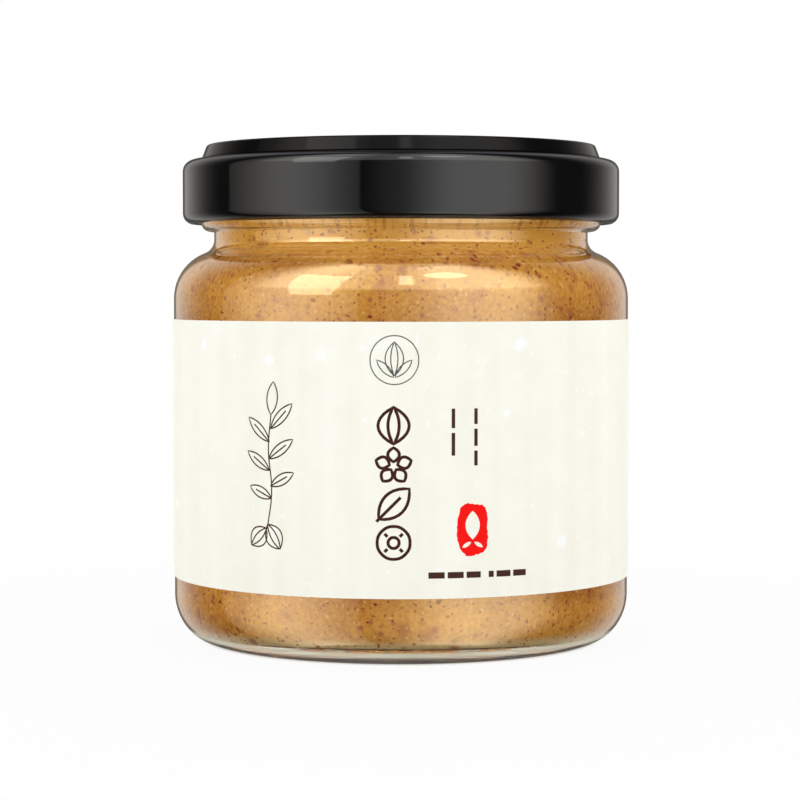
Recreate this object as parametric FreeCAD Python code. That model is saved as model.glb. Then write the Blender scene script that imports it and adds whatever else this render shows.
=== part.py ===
import FreeCAD, Part
import math
import os

# A small round jar of almond butter: the glass jar, the butter in it, a twist-off lid, the lid's
# sealing ring and a paper label. Millimetres, +Z up. The origin is the middle of the circle that
# the jar stands on, and -Y is the label's front.

Vector = FreeCAD.Vector
UP = Vector(0, 0, 1)

# Glass body
BODY_DIAMETER = 63.0
JAR_HEIGHT = 67.4        # from the resting plane to the rim of the mouth
WALL = 3.0
FLOOR = 3.0              # glass under the contents, beside the wall
FLOOR_CROWN = 0.6        # rise of the inner floor towards its middle
INNER_HEEL_RADIUS = 3.5
HEEL_RADIUS = 7.3        # the heel's curve below the wall
FOOT_RADIUS = 4.9        # the tighter curve that runs on into the foot
HEEL_TURN = 40.5         # degrees of the heel's curve before the foot's takes over
BEARING_WIDTH = 1.0      # flat ring that touches the table
PUSH_UP = 1.6            # height of the hollow under the base

# Shoulder and neck
SHOULDER_RADIUS = 6.7
STEEPEST_TURN = 72.0     # degrees that the shoulder turns at most before a straight run
NECK_FILLET = 2.0
NECK_RUN = 1.12          # upright part of the neck under the bead

# Finish: what the mouth of the jar has for the lid
FINISH_HEIGHT = 10.85    # from the underside of the bead to the rim
BEAD_DEPTH = 1.79        # how far the bead stands out from the neck
BEAD_HEIGHT = 2.35
BEAD_LOWER_RADIUS = 1.2
BEAD_UPPER_RADIUS = 0.3
BEAD_STEP = 0.5          # how far the bead stands out from the wall above it
RIM_INSET = 0.7          # from that wall in to the rim
RIM_SIDE = 0.65          # upright part of the rim, below its rounding
RIM_SLOPE = 0.9          # height of the cone between the wall and the rim
RIM_RADIUS = 1.4
GLASS_EDGE_RADIUS = 0.25 # softening of the finish's other corners
RAMP_COUNT = 4
RAMP_DEPTH = 1.42        # how far a ramp stands out from the wall
RAMP_HEIGHT = 1.9        # height of a ramp where it meets the wall
RAMP_TAPER = 0.7         # how much lower its nose is than its root
RAMP_NOSE_RADIUS = 0.35
RAMP_ANGLE = 62.0        # degrees round the neck that one ramp takes
RAMP_RISE = 1.5          # how much higher its lead-in starts than its seat
RAMP_LEVEL_PART = 0.45   # part of its length that is level, where the lug ends up
RAMP_FADE_PART = 0.14    # part of its length over which it grows out of the wall
RAMP_FADE_DEPTH = 0.25   # its depth at the very ends, as a part of the full depth
RAMP_ROOT = 0.5          # how far it is set into the wall
RAMP_SECTIONS = 12

# Lid, of pressed sheet
LID_INSET = 1.27         # how far the lid's side stands inside the body's
LID_HEIGHT = 10.8
SHEET = 0.25
LID_SHOULDER_RADIUS = 1.6
LEDGE_FALL = 0.2         # fall of the ledge between the step and the shoulder
STEP_HEIGHT = 1.5        # from the ledge's inner edge up to the panel
STEP_LEAN = 0.5          # how far the step's foot lies outside its top
STEP_TOP_RADIUS = 0.5
STEP_FOOT_RADIUS = 0.3
RIM_GAP = 0.75           # from the rim out to the inside of the step
RING_WIDTH = 3.4         # raised ring at the edge of the panel, over the sealing ring
PANEL_RECESS = 0.5       # how far the panel lies below that ring
PANEL_SLOPE = 1.2        # width of the curve between the two
BUTTON_DIAMETER = 25.0   # vacuum button
BUTTON_STEP = 0.35
BUTTON_SLOPE = 1.2
BUTTON_DISH = 0.15       # how far the vacuum holds its middle down
CURL_RADIUS = 1.5        # outside of the rolled lower edge
CURL_TURN = 70.0         # degrees of that curve before it tightens
CURL_TIGHT_RADIUS = 0.35
CURL_HEIGHT = 2.2        # from the lid's lowest edge to the top of the roll
CURL_END = 0.5           # straight end of the sheet, inside the roll
LUG_COUNT = RAMP_COUNT
LUG_LIFT = 0.45          # from the lid's lowest edge up to the lugs
LUG_HEIGHT = 1.3
LUG_CORNER_RADIUS = 0.4

# Sealing ring
SEAL_THICKNESS = 0.75    # between the rim and the panel, pressed
SEAL_IMPRINT = 0.3       # how far the rim sinks into it

# Label and contents
LABEL_THICKNESS = 0.15
LABEL_ABOVE_HEEL = 2.64
LABEL_BELOW_SHOULDER = 2.85
LABEL_GAP = 6.0          # bare glass between the label's two ends, at the back
LABEL_CORNER_RADIUS = 1.5
HEADSPACE = 7.4          # from the rim down to the butter

# Clearances
RAMP_CLEARANCE = 0.15    # between the ramps and the rolled edge that passes them
LUG_CLEARANCE = 0.25     # between the lugs and the bead
LUG_PLAY = 0.05          # between a seated lug and its ramp
SEAL_CLEARANCE = 0.35    # between the sealing ring and the lid's step and slope

NEGLIGIBLE = 1e-6        # a run shorter than this isn't drawn


# The lid's rolled edge: a wide curve outside that runs on into a tight one below.
curl_turn = math.radians(CURL_TURN)
curl_offset = CURL_RADIUS - CURL_TIGHT_RADIUS
curl_width = CURL_RADIUS + CURL_TIGHT_RADIUS - curl_offset * math.cos(curl_turn)
curl_drop = CURL_TIGHT_RADIUS + curl_offset * math.sin(curl_turn)

# Radii, from the body in to the mouth
body_radius = BODY_DIAMETER / 2
lid_radius = body_radius - LID_INSET
curl_inner_radius = lid_radius - curl_width
ramp_radius = curl_inner_radius - RAMP_CLEARANCE
finish_radius = ramp_radius - RAMP_DEPTH
bead_radius = finish_radius + BEAD_STEP
lug_radius = bead_radius + LUG_CLEARANCE
neck_radius = bead_radius - BEAD_DEPTH
rim_radius = finish_radius - RIM_INSET
bore_radius = neck_radius - WALL
rim_rounding = min(RIM_RADIUS, (rim_radius - bore_radius) / 2)
step_foot_radius = rim_radius + RIM_GAP + SHEET
panel_radius = step_foot_radius - STEP_LEAN
ring_inner_radius = panel_radius - RING_WIDTH

# Heights, from the rim up through the lid and down to the shoulder
lid_top = JAR_HEIGHT + SEAL_THICKNESS + SHEET
lid_bottom = lid_top - LID_HEIGHT
lug_bottom = lid_bottom + LUG_LIFT
lug_top = lug_bottom + LUG_HEIGHT
ramp_seat = lug_top + LUG_PLAY
bead_bottom = JAR_HEIGHT - FINISH_HEIGHT
bead_top = bead_bottom + BEAD_HEIGHT
fill_height = JAR_HEIGHT - HEADSPACE

# The heel's and the foot's curves touch each other, the wall and the resting plane.
heel_turn = math.radians(HEEL_TURN)
foot_centre_offset = HEEL_RADIUS - FOOT_RADIUS
heel_top = FOOT_RADIUS + foot_centre_offset * math.sin(heel_turn)
heel_centre = (body_radius - HEEL_RADIUS, heel_top)
foot_centre = (heel_centre[0] + foot_centre_offset * math.cos(heel_turn), FOOT_RADIUS)

# The shoulder turns as far as the step between body and neck allows, up to its steepest turn,
# past which a straight cone joins the two curves.
curves_reach = SHOULDER_RADIUS + NECK_FILLET
neck_step = body_radius - neck_radius
shoulder_turn = min(math.radians(STEEPEST_TURN), math.acos(max(0, 1 - neck_step / curves_reach)))
cone_width = neck_step - curves_reach * (1 - math.cos(shoulder_turn))
cone_height = cone_width / math.tan(shoulder_turn)
neck_centre = (neck_radius + NECK_FILLET, bead_bottom - NECK_RUN)
shoulder_start = neck_centre[1] - curves_reach * math.sin(shoulder_turn) - cone_height
shoulder_centre = (body_radius - SHOULDER_RADIUS, shoulder_start)

label_bottom = heel_top + LABEL_ABOVE_HEEL
label_top = shoulder_start - LABEL_BELOW_SHOULDER


def polar(centre, radius, angle):
    """The point at an angle, in radians from the outward direction, round a centre."""
    return centre[0] + radius * math.cos(angle), centre[1] + radius * math.sin(angle)


def towards(start, end):
    """The unit direction from one point to another."""
    length = math.dist(start, end)
    return (end[0] - start[0]) / length, (end[1] - start[1]) / length


class Outline:
    """An outline in the upright plane y = 0. Its points are (distance from the axis, height)."""

    def __init__(self, start):
        self.start = self.pen = start
        self.edges = []

    def line_to(self, end):
        """A straight run to a point."""
        if math.dist(self.pen, end) < NEGLIGIBLE:
            return
        ends = [Vector(radius, 0, height) for radius, height in (self.pen, end)]
        self.edges.append(Part.LineSegment(*ends).toShape())
        self.pen = end

    def arc_to(self, end, centre):
        """The shorter arc to a point about a centre."""
        chord_middle = (self.pen[0] + end[0]) / 2, (self.pen[1] + end[1]) / 2
        out = towards(centre, chord_middle)
        reach = math.dist(centre, end)
        middle = centre[0] + out[0] * reach, centre[1] + out[1] * reach
        points = [Vector(radius, 0, height) for radius, height in (self.pen, middle, end)]
        self.edges.append(Part.Arc(*points).toShape())
        self.pen = end

    def ogee_to(self, end):
        """Two equal arcs to a point, level where they start and where they end."""
        across = end[0] - self.pen[0]
        rise = end[1] - self.pen[1]
        radius = (across**2 + rise**2) / (4 * rise)
        middle = self.pen[0] + across / 2, self.pen[1] + rise / 2
        self.arc_to(middle, (self.pen[0], self.pen[1] + radius))
        self.arc_to(end, (end[0], end[1] - radius))

    def through(self, *corners):
        """Straight runs through corners (radius, height, fillet) to a last, plain point."""
        ends = corners[1:]
        for (radius, height, fillet), ahead in zip(corners, ends):
            corner = radius, height
            back_way = towards(corner, self.pen)
            ahead_way = towards(corner, ahead[:2])
            cosine = back_way[0] * ahead_way[0] + back_way[1] * ahead_way[1]
            half_angle = math.acos(cosine) / 2
            reach = fillet / math.tan(half_angle)
            middle_way = towards((0, 0), (back_way[0] + ahead_way[0], back_way[1] + ahead_way[1]))
            centre_reach = fillet / math.sin(half_angle)
            centre = radius + middle_way[0] * centre_reach, height + middle_way[1] * centre_reach
            self.line_to((radius + back_way[0] * reach, height + back_way[1] * reach))
            self.arc_to((radius + ahead_way[0] * reach, height + ahead_way[1] * reach), centre)
        self.line_to(corners[-1])

    def wire(self):
        """The outline as it is drawn, open or closed."""
        return Part.Wire(self.edges)

    def face(self):
        """The area inside the outline, after a straight run back to its start."""
        self.line_to(self.start)
        return Part.Face(self.wire())


def ring_section(inner_radius, outer_radius, bottom, top):
    """The upright rectangle that a plain ring is turned from."""
    outline = Outline((inner_radius, bottom))
    for corner in (outer_radius, bottom), (outer_radius, top), (inner_radius, top):
        outline.line_to(corner)
    return outline.face()


def turned(face, degrees=360):
    """The solid that a face sweeps as it turns about the axis."""
    return face.revolve(Vector(), UP, degrees)


def around(shape, count, first_angle=0):
    """Copies of a shape, evenly spaced round the axis."""
    angles = [first_angle + 360 * number / count for number in range(count)]
    return [shape.rotated(Vector(), UP, angle) for angle in angles]


def draw_shoulder(outline, inset):
    """The shoulder and the neck's hollow curve, a wall's thickness further in on the inside."""
    outline.line_to((body_radius - inset, shoulder_start))
    outline.arc_to(polar(shoulder_centre, SHOULDER_RADIUS - inset, shoulder_turn), shoulder_centre)
    outline.line_to(polar(neck_centre, -NECK_FILLET - inset, shoulder_turn))
    outline.arc_to((neck_radius - inset, neck_centre[1]), neck_centre)


def draw_inside():
    """The inside of the jar, from the middle of its floor to the bottom of its bore."""
    inner_radius = body_radius - WALL
    floor_edge = inner_radius - INNER_HEEL_RADIUS
    outline = Outline((0, FLOOR + FLOOR_CROWN))
    outline.ogee_to((floor_edge, FLOOR))
    inner_heel_top = FLOOR + INNER_HEEL_RADIUS
    outline.arc_to((inner_radius, inner_heel_top), (floor_edge, inner_heel_top))
    draw_shoulder(outline, WALL)
    return outline


def make_blank():
    """The outside of the glass as a full solid, from its push-up to its rim."""
    outline = Outline((0, PUSH_UP))
    outline.ogee_to((foot_centre[0] - BEARING_WIDTH, 0))
    outline.line_to((foot_centre[0], 0))
    outline.arc_to(polar(heel_centre, HEEL_RADIUS, -heel_turn), foot_centre)
    outline.arc_to((body_radius, heel_top), heel_centre)
    draw_shoulder(outline, 0)
    outline.through(
        (neck_radius, bead_bottom, GLASS_EDGE_RADIUS),
        (bead_radius, bead_bottom, BEAD_LOWER_RADIUS),
        (bead_radius, bead_top, BEAD_UPPER_RADIUS),
        (finish_radius, bead_top),
    )
    rounding_centre = rim_radius - rim_rounding, JAR_HEIGHT - rim_rounding
    rim_foot = rounding_centre[1] - RIM_SIDE
    outline.through(
        (finish_radius, rim_foot - RIM_SLOPE, GLASS_EDGE_RADIUS),
        (rim_radius, rim_foot, GLASS_EDGE_RADIUS),
        (rim_radius, rounding_centre[1]),
    )
    outline.arc_to((rounding_centre[0], JAR_HEIGHT), rounding_centre)
    outline.line_to((0, JAR_HEIGHT))
    return turned(outline.face())


def make_cavity():
    """The hollow of the jar, open upwards through the rounded mouth."""
    outline = draw_inside()
    above = JAR_HEIGHT + WALL
    rounding_centre = bore_radius + rim_rounding, JAR_HEIGHT - rim_rounding
    outline.line_to((bore_radius, rounding_centre[1]))
    outline.arc_to((rounding_centre[0], JAR_HEIGHT), rounding_centre)
    outline.line_to((rounding_centre[0], above))
    outline.line_to((0, above))
    return turned(outline.face())


def eased(part):
    """0 to 1 with a level start and a level end."""
    part = min(1, max(0, part))
    return part * part * (3 - 2 * part)


def ramp_section(part):
    """The ramp's closed section at a part of its length, 0 at its lead-in and 1 at its end."""
    lead_in = 1 - RAMP_LEVEL_PART
    foot = ramp_seat + RAMP_RISE * (1 - eased(part / lead_in))
    fade = eased(min(part, 1 - part) / RAMP_FADE_PART)
    depth = RAMP_DEPTH * (RAMP_FADE_DEPTH + (1 - RAMP_FADE_DEPTH) * fade)
    nose = finish_radius + depth
    root = finish_radius - RAMP_ROOT
    nose_radius = min(RAMP_NOSE_RADIUS, depth / 2)
    outline = Outline((root, foot))
    outline.through(
        (nose, foot, nose_radius),
        (nose, foot + RAMP_HEIGHT - RAMP_TAPER, nose_radius),
        (root, foot + RAMP_HEIGHT),
    )
    outline.line_to((root, foot))
    return outline.wire().rotated(Vector(), UP, part * RAMP_ANGLE)


def make_ramp():
    """One inclined ramp that a lug of the lid slides under, starting at the +X side."""
    parts = [number / RAMP_SECTIONS for number in range(RAMP_SECTIONS + 1)]
    return Part.makeLoft([ramp_section(part) for part in parts], True)


def make_glass_jar():
    """The blank with its hollow cut out and its ramps on."""
    jar = make_blank().cut(make_cavity())
    return jar.fuse(around(make_ramp(), RAMP_COUNT))


def make_almond_butter():
    """The butter, which fills the jar's inside up to its level."""
    outline = draw_inside()
    outline.line_to((bore_radius, fill_height))
    outline.line_to((0, fill_height))
    return turned(outline.face())


def draw_lid():
    """The outer face of the lid's sheet, from the button's middle to its end in the roll."""
    panel = lid_top - PANEL_RECESS
    button_radius = BUTTON_DIAMETER / 2
    ledge = lid_top - STEP_HEIGHT
    shoulder_height = ledge - LEDGE_FALL
    outline = Outline((0, panel - BUTTON_STEP - BUTTON_DISH))
    outline.ogee_to((button_radius - BUTTON_SLOPE, panel - BUTTON_STEP))
    outline.ogee_to((button_radius, panel))
    outline.line_to((ring_inner_radius - PANEL_SLOPE, panel))
    outline.ogee_to((ring_inner_radius, lid_top))
    curl_centre = lid_radius - CURL_RADIUS, lid_bottom + curl_drop
    outline.through(
        (panel_radius, lid_top, STEP_TOP_RADIUS),
        (step_foot_radius, ledge, STEP_FOOT_RADIUS),
        (lid_radius, shoulder_height, LID_SHOULDER_RADIUS),
        (lid_radius, curl_centre[1]),
    )
    tight_start = polar(curl_centre, CURL_RADIUS, -curl_turn)
    tight_centre = polar(curl_centre, curl_offset, -curl_turn)
    outline.arc_to(tight_start, curl_centre)
    outline.arc_to((curl_inner_radius, tight_centre[1]), tight_centre)
    roll_top = lid_bottom + CURL_HEIGHT
    end_radius = curl_inner_radius + CURL_TIGHT_RADIUS + CURL_END
    outline.through((curl_inner_radius, roll_top, CURL_TIGHT_RADIUS), (end_radius, roll_top))
    return outline


def make_lug():
    """One lug: a stretch of the rolled edge that is pressed in to a straight chord."""
    outer_radius = curl_inner_radius + SHEET / 2
    half_length = math.sqrt(outer_radius**2 - lug_radius**2) + LUG_CORNER_RADIUS
    outline = Outline((outer_radius, lug_bottom))
    outline.through(
        (lug_radius, lug_bottom, LUG_CORNER_RADIUS),
        (lug_radius, lug_top, LUG_CORNER_RADIUS),
        (outer_radius, lug_top),
    )
    bar = outline.face().extrude(Vector(0, 2 * half_length, 0))
    bar.translate(Vector(0, -half_length, 0))
    inside_of_roll = Part.makeCylinder(outer_radius, LID_HEIGHT, Vector(0, 0, lid_bottom))
    return bar.common(inside_of_roll)


def make_lid():
    """The pressed sheet with its rolled edge and its lugs, each seated under a ramp."""
    sheet = draw_lid().wire().makeOffset2D(-SHEET, 0, True, True)
    seat_angle = RAMP_ANGLE * (1 - RAMP_LEVEL_PART / 2)
    return turned(sheet).fuse(around(make_lug(), LUG_COUNT, seat_angle))


def make_seal(glass_jar):
    """The soft ring under the edge of the panel, with the jar's rim pressed into it."""
    outer_radius = panel_radius - SHEET - SEAL_CLEARANCE
    inner_radius = ring_inner_radius + SEAL_CLEARANCE
    section = ring_section(inner_radius, outer_radius, JAR_HEIGHT - SEAL_IMPRINT, lid_top - SHEET)
    return turned(section).cut(glass_jar)


def make_corner_cutter():
    """What rounds the upper corner at a strip's end: at +X, the strip running off towards -Y."""
    depth = 4 * LABEL_THICKNESS
    size = LABEL_CORNER_RADIUS
    start = Vector(body_radius - depth / 2, -size, -size)
    block = Part.makeBox(depth, 2 * size, 2 * size, start)
    rounding = Part.makeCylinder(size, depth, start, Vector(1, 0, 0))
    return block.cut(rounding)


def make_label():
    """The paper label, wrapped round the body with its two ends apart at the back."""
    label_angle = 360 - math.degrees(LABEL_GAP / body_radius)
    section = ring_section(body_radius, body_radius + LABEL_THICKNESS, label_bottom, label_top)
    end_angle = label_angle / 2 - 90
    start_angle = end_angle - label_angle
    strip = turned(section, label_angle).rotated(Vector(), UP, start_angle)
    end_cutter = make_corner_cutter()
    start_cutter = end_cutter.mirror(Vector(), Vector(0, 1, 0))
    cutters = []
    for cutter, angle in (end_cutter, end_angle), (start_cutter, start_angle):
        for corner, height in (cutter, label_top), (cutter.mirror(Vector(), UP), label_bottom):
            corner = corner.translated(Vector(0, 0, height))
            cutters.append(corner.rotated(Vector(), UP, angle))
    return strip.cut(cutters)


def main():
    """Builds each piece and writes it to its own file."""
    glass_jar = make_glass_jar()
    pieces = {
        "glass_jar": glass_jar,
        "almond_butter": make_almond_butter(),
        "lid": make_lid(),
        "seal": make_seal(glass_jar),
        "label": make_label(),
    }
    os.makedirs("parts", exist_ok=True)
    for name, shape in pieces.items():
        if len(shape.Solids) != 1 or not shape.isValid():
            raise ValueError(f"{name} is not one valid solid")
        solid = shape.Solids[0]
        solid.exportStep(f"parts/{name}.step")
        print(f"{name}: {solid.Volume / 1000:.2f} ml")


main()
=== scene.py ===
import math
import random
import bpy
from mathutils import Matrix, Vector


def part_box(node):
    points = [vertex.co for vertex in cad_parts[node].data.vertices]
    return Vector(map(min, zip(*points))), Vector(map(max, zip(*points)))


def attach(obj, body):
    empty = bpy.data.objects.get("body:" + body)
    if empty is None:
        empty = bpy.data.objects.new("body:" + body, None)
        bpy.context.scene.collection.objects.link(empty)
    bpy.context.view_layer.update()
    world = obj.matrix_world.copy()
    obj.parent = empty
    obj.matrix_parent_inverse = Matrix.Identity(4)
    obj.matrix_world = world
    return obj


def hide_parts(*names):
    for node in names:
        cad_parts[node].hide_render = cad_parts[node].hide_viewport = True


bl_info = {
    "name": "Almond Butter Jar",
    "version": (1, 0, 0),
    "blender": (4, 5, 0),
    "location": "View3D > Sidebar > Jar",
    "description": "A small glass jar of almond butter with a black lid and a paper label",
    "category": "Object",
}

import bmesh
import bpy
from bpy.props import FloatProperty, FloatVectorProperty, IntProperty, PointerProperty
from mathutils import Color, Matrix, Vector, noise

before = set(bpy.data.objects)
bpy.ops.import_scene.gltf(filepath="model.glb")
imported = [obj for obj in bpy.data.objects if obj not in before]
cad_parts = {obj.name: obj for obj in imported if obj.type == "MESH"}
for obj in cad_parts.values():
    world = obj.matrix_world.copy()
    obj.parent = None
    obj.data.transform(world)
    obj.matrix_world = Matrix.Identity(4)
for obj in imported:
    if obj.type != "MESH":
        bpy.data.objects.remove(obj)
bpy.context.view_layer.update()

MM = 0.001
BODY = "root"
GLASS_WALL = 3.0 * MM
butter_low, butter_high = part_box("almond_butter")
label_low, label_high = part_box("label")
lid_low, lid_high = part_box("lid")
body_radius = butter_high.x + GLASS_WALL

FLECK_SEED = 41
PATCH_SEED = 6
LAMPS = 5               # in each of the two rings
MERGE = 0.001 * MM      # points nearer than this are one


def shade(red, green, blue):
    """A colour given as on screen, 0 to 255, in the linear numbers that shaders use."""
    screen = [part / 255 for part in (red, green, blue)]
    return tuple(p / 12.92 if p < 0.04045 else ((p + 0.055) / 1.055) ** 2.4 for p in screen)


def colour_property(name, description, default):
    return FloatVectorProperty(
        name=name, description=description, subtype="COLOR", default=default, min=0, max=1
    )


def length_property(name, description, default):
    return FloatProperty(
        name=name, description=description, unit="LENGTH", subtype="DISTANCE",
        default=default, precision=5,
    )


# Settings


class GlassSettings(bpy.types.PropertyGroup):
    refraction: FloatProperty(
        name="Refractive index", description="How strongly the glass bends light",
        default=1.52, min=1, max=2,
    )
    tint: colour_property("Tint", "Colour of light that passed the glass", (0.975, 0.99, 0.98))
    # Foot is the colour of a painted glow in the glass's foot, which stands in for light that its
    # stipples scatter.
    foot: colour_property("Foot", "Light that the foot's stipples scatter", shade(201, 199, 178))
    ripple: length_property("Ripple", "Depth of the mould's faint waves", 0.004 * MM)


class ButterSettings(bpy.types.PropertyGroup):
    wall: length_property("Wall", "Thickness of the glass round the butter", GLASS_WALL)
    reach: length_property("Reach", "How far the butter reaches into the wall", 0.05 * MM)
    heel: length_property("Heel", "Radius of the jar's inner heel", 3.5 * MM)
    lift: length_property("Lift", "Film of air left under the butter", 0.05 * MM)
    crown: length_property("Crown", "Rise of the inner floor's middle", 0.6 * MM)
    shoulder: length_property("Shoulder", "Outer radius of the shoulder's curve", 6.7 * MM)
    shoulder_height: length_property("Shoulder height", "Where the shoulder starts", 47.3 * MM)
    neck_fillet: length_property("Neck fillet", "Outer radius of the neck's hollow", 2.0 * MM)
    neck_height: length_property("Neck height", "Where the neck turns upright", 55.43 * MM)
    neck_radius: length_property("Neck radius", "Outer radius of the neck", 25.91 * MM)
    swirl: length_property("Swirl", "Height of the folds on top of the butter", 0.35 * MM)
    light: colour_property("Light", "Lighter parts of the paste", shade(221, 160, 73))
    dark: colour_property("Dark", "Darker parts of the paste", shade(183, 118, 47))
    skin: colour_property("Skin", "Brown almond skin", shade(152, 64, 38))
    sunk_skin: colour_property("Sunk skin", "Skin under a film of paste", shade(168, 92, 60))
    kernel: colour_property("Kernel", "Pale bits of kernel", shade(238, 196, 130))
    # Top is painted light: a paler colour laid on the paste in the neck.
    top: colour_property("Top", "Paste in the jar's neck", shade(246, 178, 76))
    # Foot is painted light: a paler colour laid on the paste where light comes up through the base.
    foot: colour_property("Foot", "Paste that rests on the jar's floor", shade(214, 196, 146))
    fleck_count: IntProperty(
        name="Skin flecks", description="Flecks of almond skin at the glass", default=4500, min=0
    )
    fleck_size: length_property("Fleck size", "Length of a usual fleck", 0.38 * MM)
    bit_count: IntProperty(
        name="Kernel bits", description="Pale bits of kernel at the glass", default=520, min=0
    )
    bit_size: length_property("Bit size", "Length of a usual bit of kernel", 0.55 * MM)


class LidSettings(bpy.types.PropertyGroup):
    sheet: length_property("Sheet", "Thickness of the tinplate", 0.25 * MM)
    button: length_property("Button", "Diameter of the vacuum button", 25.0 * MM)
    button_step: length_property("Button step", "How far the button lies down", 0.35 * MM)
    panel: length_property("Panel", "Radius of the raised panel", 26.9 * MM)
    ring: length_property("Ring", "Width of the panel's raised rim", 3.4 * MM)
    recess: length_property("Recess", "Depth of the panel inside its rim", 0.5 * MM)
    step: length_property("Step", "Height of the panel above the ledge", 1.95 * MM)
    shoulder: length_property("Shoulder", "Radius of the outer edge", 1.6 * MM)
    curl: length_property("Curl", "Outer radius of the rolled edge", 1.5 * MM)
    lug_reach: length_property("Lug reach", "From the axis to a lug's flat", 27.95 * MM)
    lug_azimuth: FloatProperty(
        name="Lug azimuth", description="Degrees round the axis to the first lug", default=48.05
    )
    lacquer: colour_property("Lacquer", "Colour of the lacquer", shade(13, 13, 14))
    gloss: FloatProperty(
        name="Roughness", description="Roughness of the lacquer", default=0.055, min=0, max=1
    )
    seal: colour_property("Seal", "Colour of the sealing ring", shade(206, 204, 196))


class LabelSettings(bpy.types.PropertyGroup):
    paper: colour_property("Paper", "Colour of the paper", shade(244, 243, 230))
    fibre: colour_property("Fibre", "Colour of the paper's flecks", shade(255, 255, 255))
    thickness: length_property("Thickness", "Thickness of the paper", 0.13 * MM)
    sink: length_property("Sink", "How far the glue reaches into the glass", 0.02 * MM)
    corner: length_property("Corner", "Radius of the corners", 1.5 * MM)
    gap: length_property("Gap", "Bare glass between the two ends", 6.0 * MM)
    ink: colour_property("Ink", "Dark brown printing ink", shade(60, 30, 25))
    pale_ink: colour_property("Pale ink", "Ink of the fine drawings", shade(64, 40, 34))
    grey_ink: colour_property("Grey ink", "Ink of the emblem", shade(84, 84, 88))
    red_ink: colour_property("Red ink", "Ink of the red patch", shade(246, 18, 14))
    film: length_property("Ink film", "Thickness of the ink", 0.01 * MM)


class StageSettings(bpy.types.PropertyGroup):
    camera: FloatVectorProperty(
        name="Camera", description="Place of the camera", subtype="TRANSLATION", unit="LENGTH",
        default=(-0.00013, -0.35252, 0.048717), precision=5,
    )
    tilt: FloatProperty(
        name="Tilt", description="How far the camera looks down", subtype="ANGLE",
        default=math.radians(2.532),
    )
    lens: FloatProperty(
        name="Lens", description="Focal length in millimetres", default=113.77, min=1
    )
    ambient: FloatProperty(
        name="Ambient", description="Even light from all round", default=0.2, min=0
    )
    lamp: FloatProperty(
        name="Low lamps", description="Power of each soft lamp in the low ring", default=0.63, min=0
    )
    high_lamp: FloatProperty(
        name="High lamps", description="Power of each soft lamp in the high ring", default=1.63,
        min=0,
    )
    panels: FloatProperty(
        name="Panels", description="Strength of the panels that gloss reflects", default=1.0, min=0
    )


SETTINGS = {
    "jar_glass": GlassSettings,
    "jar_butter": ButterSettings,
    "jar_lid": LidSettings,
    "jar_label": LabelSettings,
    "jar_stage": StageSettings,
}


# Node trees


class Reading:
    """What a node gives. Arithmetic on it adds Math nodes."""

    def __init__(self, nodes, socket):
        self.nodes = nodes
        self.socket = socket

    def __add__(self, other):
        return self.nodes.maths("ADD", self, other)

    def __sub__(self, other):
        return self.nodes.maths("SUBTRACT", self, other)

    def __rsub__(self, other):
        return self.nodes.maths("SUBTRACT", other, self)

    def __mul__(self, other):
        return self.nodes.maths("MULTIPLY", self, other)

    def __truediv__(self, other):
        return self.nodes.maths("DIVIDE", self, other)

    def __pow__(self, other):
        return self.nodes.maths("POWER", self, other)

    def __lt__(self, other):
        return self.nodes.maths("LESS_THAN", self, other)

    def __neg__(self):
        return self * -1

    __radd__ = __add__
    __rmul__ = __mul__


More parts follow.
